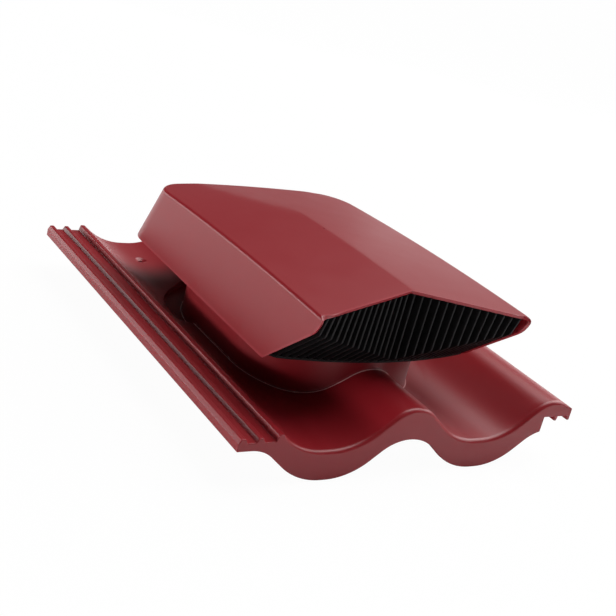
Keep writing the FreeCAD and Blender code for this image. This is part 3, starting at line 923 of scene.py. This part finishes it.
def upper_rows(column):
    """One ray over the top: up inside the collar, over its rim, down its face and out over the sheet."""
    foot, way, _, moat, _ = column
    rows = []

    def put(d, z):
        p = foot + way * d
        rows.append((p[0], p[1], z))

    def level(d):
        p = foot + way * d
        return float(top_z(p[0]))

    put(-COLLAR_T, DUCT_MID)
    put(-COLLAR_T, COLLAR_TOP - RIM_ROUND)
    for a in QUARTER:
        put(-COLLAR_T + RIM_ROUND * (1 - math.cos(a)), COLLAR_TOP - RIM_ROUND * (1 - math.sin(a)))
    for a in np.concatenate([(0,), QUARTER]):
        put(-RIM_ROUND * (1 - math.sin(a)), COLLAR_TOP - RIM_ROUND * (1 - math.cos(a)))
    start = (MOAT_Z if moat else level(0)) + FOOT_FILLET
    for t in (1 / 3, 2 / 3, 1):
        put(0, COLLAR_TOP - RIM_ROUND + (start - COLLAR_TOP + RIM_ROUND) * t)
    for a in QUARTER:
        d = FOOT_FILLET * (1 - math.cos(a))
        put(d, (MOAT_Z if moat else level(d)) + FOOT_FILLET * (1 - math.sin(a)))
    if moat:
        for d in MOAT_FLOOR_AT:
            put(d, MOAT_Z)
        put(MOAT_W - MOAT_MID, MOAT_Z + MOAT_MID)
        put(MOAT_W, MOAT_Z + MOAT_FOOT_R)
        for out, fall in ((0, MOAT_EDGE_R), (MOAT_EDGE_MID, MOAT_EDGE_MID), (MOAT_EDGE_R, 0)):
            put(MOAT_W + out, level(MOAT_W + out) - fall)
    else:
        for d in SHEET_AT:
            put(d, level(d))
    return rows + outer_rows(column, top_z)


def lower_rows(column):
    """One ray under the tile: down inside the collar, round its lower end and out under the sheet."""
    foot, way, _, _, moat = column
    rows = []
    ease = DUCT_EASE

    def put(d, z):
        p = foot + way * d
        rows.append((p[0], p[1], z))

    def level(d):
        p = foot + way * d
        return float(under_z(p[0]))

    put(-COLLAR_T, DUCT_MID)
    put(-COLLAR_T, DUCT_Z + ease)
    put(-COLLAR_T + ease, DUCT_Z)
    put(-ease, DUCT_Z)
    put(0, DUCT_Z + ease)
    floor = MOAT_Z - SHEET
    put(0, floor if moat else level(0))
    grown = MOAT_W + SHEET
    if moat:
        for d in UNDER_AT + (grown,):
            put(d, floor)
        for d in (grown, grown + UNDER_MOAT_STEP):
            put(d, level(d))
    else:
        for d in UNDER_AT + UNDER_SHEET_AT:
            put(d, level(d))
    return rows + outer_rows(column, under_z)


def strip(pieces, section, ys):
    """Section drawn along the tile through the given rows."""
    pieces.sheet(np.array([pieces.points(across_y(section, y)) for y in ys]))


def front_rounds(loop, top_count):
    """Rounding of the front edge, wide over the waves and small on ribs, right edge and lower edge."""
    x = loop[:, 0]
    wave = np.clip((x - ROUND_FROM) / ROUND_FADE, 0, 1)
    wave = wave * np.clip((RIGHT - ROUND_EDGE - x) / ROUND_EDGE_FADE, 0, 1)
    wave = wave * wave * (3 - 2 * wave)
    rounds = RIB_FRONT_ROUND + (FRONT_ROUND - RIB_FRONT_ROUND) * wave
    rounds[top_count:] = LOW_ROUND
    return rounds


def end_cap(pieces, loop, y0, y1, rounds):
    """Rounded end of a section: from y0 to the flat face at y1."""
    way = math.copysign(1.0, y1 - y0)
    normal = inward(loop)
    rows = [across_y(loop, y0)]
    for a in np.concatenate([(0.0,), QUARTER]):
        row = across_y(loop + normal * (rounds * (1 - math.cos(a)))[:, None], y1)
        row[:, 1] -= way * rounds * (1 - math.sin(a))
        rows.append(row)
    ids = np.array([pieces.points(row) for row in rows])
    pieces.sheet(ids, wrap=True)
    pieces.faces.append(tuple(ids[-1]))


def tile_body(pieces):
    """Sheet with collar and moat, interlock and lip strips beside it, and the two ends."""
    columns = ray_columns()
    for rows in (upper_rows, lower_rows):
        grid = np.array([rows(c) for c in columns])
        ids = pieces.points(grid.reshape(-1, 3)).reshape(grid.shape[:2])
        pieces.sheet(ids.T, wrap=True)
    inner, outer = left_section()
    right = right_section()
    left_ys = sorted({float(c[2][1]) for c in columns if c[2][0] == MID_LEFT})
    right_ys = sorted({float(c[2][1]) for c in columns if c[2][0] == MID_RIGHT})
    left = np.concatenate([inner, outer[1:]])
    strip(pieces, left, left_ys)
    strip(pieces, right, right_ys)

    front_xs = np.linspace(MID_LEFT, MID_RIGHT, FRONT_N)[1:-1]
    rear_xs = np.linspace(MID_LEFT, MID_RIGHT, REAR_N)[1:-1]
    face_end = int(np.where(right[:, 0] > RIGHT - SLACK)[0].max())
    top = np.concatenate([outer, np.stack([front_xs, top_z(front_xs)], 1), right[:face_end + 1]])
    low = apron_line()
    loop = np.concatenate([top, low[:-1]])
    end_cap(pieces, loop, MID_FRONT, FRONT, front_rounds(loop, len(top) - 2))
    under = np.stack([front_xs, under_z(front_xs)], 1)
    back = np.concatenate([inner[::-1], under, right[face_end:][::-1], low[:-1]])
    pieces.faces.append(tuple(pieces.points(across_y(back, MID_FRONT))))
    whole = np.concatenate([left, np.stack([rear_xs, top_z(rear_xs)], 1), right,
                            np.stack([rear_xs[::-1], under_z(rear_xs[::-1])], 1)])
    end_cap(pieces, whole, MID_REAR, REAR, np.full(len(whole), REAR_ROUND))


def tile_extras(pieces):
    """Weather bars, nibs and screw bosses, run into the body."""
    tooth = RIGHT - TOOTH_IN
    root_z = CREST_Z - SHEET + BAR_BITE
    middle = closed_round([
        (tooth - TOOTH_ROOT / 2, root_z, 0),
        (tooth - TOOTH_TIP / 2, BAR_Z, SMALL_R),
        (tooth + TOOTH_TIP / 2, BAR_Z, SMALL_R),
        (tooth + TOOTH_ROOT / 2, root_z, 0),
    ])
    edge_z = wave_corners(SHEET / 2)[-1][1]
    side = RIGHT - BAR_SIDE_SHY
    outer = closed_round([
        (side - EDGE_ROOT, edge_z + EDGE_ROOT * math.tan(LIP), 0),
        (side - EDGE_TIP, BAR_Z, SMALL_R),
        (side, BAR_Z, SMALL_R),
        (side, edge_z, 0),
    ])
    for loop in (middle, outer):
        pieces.slab(loop, across_y, FRONT + BAR_END_SHY, REAR - BAR_END_SHY, BAR_EASE)
    for x in VALLEYS:
        nib = closed_round([
            (x - NIB_W / 2, VALLEY_Z - SHEET / 2, 0),
            (x - NIB_W / 2, 0, NIB_ROUND),
            (x + NIB_W / 2, 0, NIB_ROUND),
            (x + NIB_W / 2, VALLEY_Z - SHEET / 2, 0),
        ])
        pieces.slab(nib, across_y, NIB_Y, NIB_Y + NIB_T, NIB_EASE)
    for side in (-1, 1):
        for y in BOSS_YS:
            loop = circle(CREST_X + side * BOSS_IN, y, BOSS_D / 2)
            pieces.slab(loop, across_z, COLLAR_TOP - BOSS_H, COLLAR_TOP - BOSS_SHY, BOSS_EASE)


def drill(bm, x, y):
    """Sunk screw hole: opens the top and bottom faces and joins them by the sink and the bore."""
    rings = []
    for up in (1, -1):
        clear = (SINK_D if up > 0 else HOLE_D) / 2 + DRILL_CLEAR
        near = []
        for face in bm.faces:
            at = face.calc_center_median() / MM
            close = math.hypot(at.x - x, at.y - y) < clear and abs(at.z - VALLEY_Z) < DRILL_BAND
            if close and face.normal.z * up > DRILL_FACING:
                near.append(face)
        around = {e for f in near for e in f.edges}
        border = [e for e in around if sum(f in near for f in e.link_faces) == 1]
        bmesh.ops.delete(bm, geom=near, context="FACES_ONLY")
        inside = [e for e in around if e.is_valid and not e.link_faces]
        bmesh.ops.delete(bm, geom=inside, context="EDGES")
        height = top_z if up > 0 else under_z
        radius = SINK_D / 2 + SINK_EASE if up > 0 else HOLE_D / 2
        ring = [bm.verts.new((px * MM, py * MM, float(height(px)) * MM)) for px, py in circle(x, y, radius)]
        edges = [bm.edges.new((ring[k], ring[k - 1])) for k in range(len(ring))]
        bmesh.ops.triangle_fill(bm, use_beauty=True, use_dissolve=False, edges=border + edges)
        rings.append(ring)
    levels = [rings[0]]
    for radius, z in ((SINK_D / 2, VALLEY_Z - SINK_EDGE), (HOLE_D / 2, VALLEY_Z - SINK_H)):
        levels.append([bm.verts.new((px * MM, py * MM, z * MM)) for px, py in circle(x, y, radius)])
    levels.append(rings[1])
    for a, b in zip(levels, levels[1:]):
        for k in range(len(a)):
            bm.faces.new((a[k - 1], a[k], b[k], b[k - 1]))


def make_tile(material):
    body = Pieces()
    tile_body(body)
    bm = bmesh.new()
    join(bm, body)
    bmesh.ops.remove_doubles(bm, verts=bm.verts, dist=WELD * MM)
    bmesh.ops.recalc_face_normals(bm, faces=bm.faces)
    for x in VALLEYS:
        drill(bm, x, HOLE_Y)
    extras = Pieces()
    tile_extras(extras)
    join(bm, extras)
    finish_object("tile_moulding", bm, "tile_base", material)


HIGHLIGHT_BEAD_TURN_N = 45
HIGHLIGHT_BEAD_SIDE_N = 12
HIGHLIGHT_BEAD_ROUND_N = 8


def make_highlight_bead(material):
    """Thin bead along the collar's foot whose pale colour is a painted highlight line, on the sheet in front
    and on the moat's floor behind.
    """
    radius = COLLAR_R + HIGHLIGHT_BEAD_OUT
    gap = HIGHLIGHT_BEAD_GAP / radius
    rear_turn = np.linspace(math.pi / 2 + gap, math.pi, HIGHLIGHT_BEAD_TURN_N)
    front_turn = np.linspace(math.pi, 1.5 * math.pi, HIGHLIGHT_BEAD_TURN_N)
    side_ys = np.linspace(MOAT_FRONT_Y - HIGHLIGHT_BEAD_STEP, COLLAR_FRONT_Y, HIGHLIGHT_BEAD_SIDE_N)[:-1]
    half = [(math.cos(a), math.sin(a), COLLAR_REAR_Y, True) for a in rear_turn]
    half += [(-1.0, 0.0, MOAT_FRONT_Y + HIGHLIGHT_BEAD_STEP, True)]
    half += [(-1.0, 0.0, y, False) for y in side_ys]
    half += [(math.cos(a), math.sin(a), COLLAR_FRONT_Y, False) for a in front_turn]
    path = half + [(-way_x, way_y, y, moat) for way_x, way_y, y, moat in half[-2::-1]]
    ring = np.linspace(0, 2 * math.pi, HIGHLIGHT_BEAD_ROUND_N + 1)[:-1]
    out, up = HIGHLIGHT_BEAD_R * np.cos(ring), HIGHLIGHT_BEAD_R * np.sin(ring)
    loops = []
    for way_x, way_y, y, moat in path:
        x = CREST_X + radius * way_x
        z = (MOAT_Z if moat else float(top_z(x))) + HIGHLIGHT_BEAD_UP
        loops.append(np.stack([x + way_x * out, y + radius * way_y + way_y * out, z + up], 1))
    pieces = Pieces()
    pieces.loft(loops)
    bm = bmesh.new()
    join(bm, pieces)
    finish_object("collar_foot_highlight_bead", bm, "tile_base", material)


# Materials; noise scales are waves to the metre, bump heights metres

DRIFT_SCALE = 9.0
GLOSS_SCALE = 40.0
GLOSS_LOW, GLOSS_HIGH = -0.03, 0.04
GRAIN_SCALE = 1900.0
GRAIN_H = 0.00012
WORN_FROM, WORN_TO = 0.52, 0.60
ZINC = (0.62, 0.62, 0.60)
ZINC_DARK = (0.52, 0.53, 0.54)
ZINC_ROUGH = (0.28, 0.42)
TONE_SCALE = 300.0
SMEAR_SCALE = 900.0
MARK_SCALE = 2500.0
MARK_STRENGTH = 0.2
MARK_H = 0.00005


def new_material(name):
    mat = bpy.data.materials.new(name)
    mat.use_nodes = True
    nodes = mat.node_tree.nodes
    nodes.clear()
    out = nodes.new("ShaderNodeOutputMaterial")
    bsdf = nodes.new("ShaderNodeBsdfPrincipled")
    mat.node_tree.links.new(bsdf.outputs["BSDF"], out.inputs["Surface"])
    return mat, bsdf


def add(mat, kind, **inputs):
    node = mat.node_tree.nodes.new(kind)
    for key, value in inputs.items():
        node.inputs[key.replace("_", " ")].default_value = value
    return node


def link(mat, a, b):
    mat.node_tree.links.new(a, b)


def noise(mat, coords, scale, detail=3.0, rough=0.5):
    node = add(mat, "ShaderNodeTexNoise", Scale=scale, Detail=detail, Roughness=rough)
    link(mat, coords, node.inputs["Vector"])
    return node.outputs["Fac"]


def ramp(mat, value, low, high):
    """Maps a 0 to 1 value to a range of numbers."""
    node = add(mat, "ShaderNodeMapRange", To_Min=low, To_Max=high)
    link(mat, value, node.inputs["Value"])
    return node.outputs["Result"]


def mix_colour(mat, fac, a, b):
    node = mat.node_tree.nodes.new("ShaderNodeMix")
    node.data_type = "RGBA"
    link(mat, fac, node.inputs[0])
    for socket, value in ((node.inputs[6], a), (node.inputs[7], b)):
        if isinstance(value, tuple):
            socket.default_value = (*value, 1.0)
        else:
            link(mat, value, socket)
    return node.outputs[2]


def moulded_plastic(name, colour, darker, rough, grain, worn):
    """Moulded plastic: slow colour drift, fine spark-eroded grain, slightly paler rubbed edges."""
    mat, bsdf = new_material(name)
    coords = mat.node_tree.nodes.new("ShaderNodeTexCoord").outputs["Object"]
    drift = noise(mat, coords, DRIFT_SCALE, 2.0)
    base = mix_colour(mat, drift, colour, darker)
    edge = mat.node_tree.nodes.new("ShaderNodeNewGeometry").outputs["Pointiness"]
    edge_fac = add(mat, "ShaderNodeMapRange", From_Min=WORN_FROM, From_Max=WORN_TO)
    link(mat, edge, edge_fac.inputs["Value"])
    link(mat, mix_colour(mat, edge_fac.outputs["Result"], base, worn), bsdf.inputs["Base Color"])
    gloss = ramp(mat, noise(mat, coords, GLOSS_SCALE), rough + GLOSS_LOW, rough + GLOSS_HIGH)
    link(mat, gloss, bsdf.inputs["Roughness"])
    bump = add(mat, "ShaderNodeBump", Strength=grain, Distance=GRAIN_H)
    link(mat, noise(mat, coords, GRAIN_SCALE, 2.0), bump.inputs["Height"])
    link(mat, bump.outputs["Normal"], bsdf.inputs["Normal"])
    return mat


def screw_metal(name):
    """Zinc-plated steel with faint turning marks and uneven gloss."""
    mat, bsdf = new_material(name)
    coords = mat.node_tree.nodes.new("ShaderNodeTexCoord").outputs["Object"]
    tone = mix_colour(mat, noise(mat, coords, TONE_SCALE), ZINC, ZINC_DARK)
    link(mat, tone, bsdf.inputs["Base Color"])
    bsdf.inputs["Metallic"].default_value = 1.0
    link(mat, ramp(mat, noise(mat, coords, SMEAR_SCALE), *ZINC_ROUGH), bsdf.inputs["Roughness"])
    bump = add(mat, "ShaderNodeBump", Strength=MARK_STRENGTH, Distance=MARK_H)
    link(mat, noise(mat, coords, MARK_SCALE, 2.0), bump.inputs["Height"])
    link(mat, bump.outputs["Normal"], bsdf.inputs["Normal"])
    return mat


BLACK_SHINE = 0.2

red = moulded_plastic("red_plastic", colour=(0.31, 0.011, 0.018), darker=(0.29, 0.010, 0.0165),
                      rough=0.34, grain=0.12, worn=(0.36, 0.028, 0.038))
black = moulded_plastic("black_plastic", colour=(0.007, 0.007, 0.0075), darker=(0.005, 0.005, 0.0055),
                        rough=0.55, grain=0.35, worn=(0.016, 0.016, 0.017))
black.node_tree.nodes["Principled BSDF"].inputs["Specular IOR Level"].default_value = BLACK_SHINE
# Pale pink finish of the bead at the collar's foot: a painted highlight line, not the plastic's own colour
bead_highlight_paint = moulded_plastic("pale_painted_highlight", colour=(0.80, 0.42, 0.42), darker=(0.74, 0.36, 0.36),
                       rough=0.28, grain=0.1, worn=(0.8, 0.45, 0.45))
steel = screw_metal("screw_steel")

make_tile(red)
make_highlight_bead(bead_highlight_paint)
make_hood(red)
make_grille(black)
make_screws(steel)

# The hidden solids keep the finishes of the pieces that stand for them
NODE_MATERIALS = {"tile_base": red, "hood": red, "grille": black, "floor_screws": steel}
for node_name, material in NODE_MATERIALS.items():
    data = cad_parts[node_name].data
    data.materials.clear()
    data.materials.append(material)


# Camera, at the photograph's station point

CAM_AT = (-0.5749, -0.8172, 0.4221)
CAM_RIGHT = (0.8356, -0.4964, 0.2354)
CAM_UP = (-0.0066, 0.4194, 0.9078)
CAM_BACK = (-0.5493, -0.7600, 0.3472)
CAM_LENS = 67.2


def make_camera():
    data = bpy.data.cameras.new("photo_camera")
    data.sensor_width = 36.0
    data.lens = CAM_LENS
    data.clip_start = 0.01
    data.clip_end = 100.0
    cam = bpy.data.objects.new("photo_camera", data)
    bpy.context.scene.collection.objects.link(cam)
    turn = Matrix((CAM_RIGHT, CAM_UP, CAM_BACK)).transposed()
    cam.matrix_world = Matrix.Translation(CAM_AT) @ turn.to_4x4()
    bpy.context.scene.camera = cam


make_camera()


# Studio

FLOOR_HALF = 40.0
FLOOR_GAP = 0.0004
FLOOR_GLOW = 0.97


def area_light(name, at, target, size, watts):
    """Rectangular lamp aimed at a point, in metres."""
    data = bpy.data.lights.new(name, "AREA")
    data.shape = "RECTANGLE"
    data.size, data.size_y = size
    data.energy = watts
    lamp = bpy.data.objects.new(name, data)
    bpy.context.scene.collection.objects.link(lamp)
    lamp.location = at
    lamp.rotation_euler = (Vector(target) - Vector(at)).to_track_quat("-Z", "Y").to_euler()


def make_floor():
    """Pale floor that the camera sees as white, with a trace of its shadows."""
    mesh = bpy.data.meshes.new("floor")
    s = FLOOR_HALF
    mesh.from_pydata([(-s, -s, 0), (s, -s, 0), (s, s, 0), (-s, s, 0)], [], [(0, 1, 2, 3)])
    floor = bpy.data.objects.new("floor", mesh)
    floor.location.z = -FLOOR_GAP
    bpy.context.scene.collection.objects.link(floor)
    mat, bsdf = new_material("floor")
    bsdf.inputs["Base Color"].default_value = (0.95, 0.95, 0.95, 1)
    bsdf.inputs["Roughness"].default_value = 0.9
    bsdf.inputs["Specular IOR Level"].default_value = 0.0
    glow = add(mat, "ShaderNodeEmission", Strength=1.0)
    both = mat.node_tree.nodes.new("ShaderNodeMixShader")
    path = mat.node_tree.nodes.new("ShaderNodeLightPath")
    share = mat.node_tree.nodes.new("ShaderNodeMath")
    share.operation = "MULTIPLY"
    share.inputs[1].default_value = FLOOR_GLOW
    link(mat, path.outputs["Is Camera Ray"], share.inputs[0])
    link(mat, share.outputs[0], both.inputs[0])
    link(mat, bsdf.outputs["BSDF"], both.inputs[1])
    link(mat, glow.outputs[0], both.inputs[2])
    out = next(n for n in mat.node_tree.nodes if n.type == "OUTPUT_MATERIAL")
    link(mat, both.outputs[0], out.inputs["Surface"])
    mesh.materials.append(mat)


# The sky is a soft box overhead, tilted to the right and a little to the rear
SKY_TILT = (0.5, 0.22, 1.0)
SKY_EDGE, SKY_FULL = 0.84, 0.94
SKY_LOW, SKY_HIGH = 0.04, 4.1


def make_world():
    """White to the camera; to the part, a soft-edged light round the tilted axis."""
    world = bpy.data.worlds.new("studio")
    bpy.context.scene.world = world
    world.use_nodes = True
    nodes, links = world.node_tree.nodes, world.node_tree.links
    nodes.clear()
    out = nodes.new("ShaderNodeOutputWorld")
    soft = nodes.new("ShaderNodeBackground")
    soft.inputs["Color"].default_value = (1, 1, 1, 1)
    place = nodes.new("ShaderNodeTexCoord")
    facing = nodes.new("ShaderNodeVectorMath")
    facing.operation = "DOT_PRODUCT"
    facing.inputs[1].default_value = Vector(SKY_TILT).normalized()
    links.new(place.outputs["Generated"], facing.inputs[0])
    fade = nodes.new("ShaderNodeMapRange")
    fade.interpolation_type = "SMOOTHSTEP"
    spans = {"From Min": SKY_EDGE, "From Max": SKY_FULL, "To Min": SKY_LOW, "To Max": SKY_HIGH}
    for key, value in spans.items():
        fade.inputs[key].default_value = value
    links.new(facing.outputs["Value"], fade.inputs["Value"])
    links.new(fade.outputs["Result"], soft.inputs["Strength"])
    white = nodes.new("ShaderNodeBackground")
    white.inputs["Color"].default_value = (1, 1, 1, 1)
    white.inputs["Strength"].default_value = 1.0
    path = nodes.new("ShaderNodeLightPath")
    both = nodes.new("ShaderNodeMixShader")
    links.new(path.outputs["Is Camera Ray"], both.inputs[0])
    links.new(soft.outputs[0], both.inputs[1])
    links.new(white.outputs[0], both.inputs[2])
    links.new(both.outputs[0], out.inputs["Surface"])


make_floor()
make_world()
AIM = (0, 0, 0.06)
AIM_WALL = (0, 0, 0.08)
area_light("key", at=(1.92, -0.1, 1.06), target=AIM, size=(2.2, 1.0), watts=22)
area_light("edge", at=(1.0, -0.6, 1.45), target=AIM, size=(0.8, 0.8), watts=0.8)
area_light("left_low", at=(-1.65, 0.5, 0.10), target=AIM_WALL, size=(2.0, 0.2), watts=11.5)
area_light("rear_left", at=(-1.15, 1.64, 0.22), target=AIM, size=(1.75, 0.42), watts=7.0)
area_light("rear_right", at=(1.73, 1.0, 0.28), target=AIM, size=(1.5, 0.5), watts=2.1)
area_light("rear", at=(1.0, 1.73, 0.22), target=AIM, size=(1.6, 0.4), watts=0.9)

bpy.context.scene.view_settings.view_transform = "Standard"
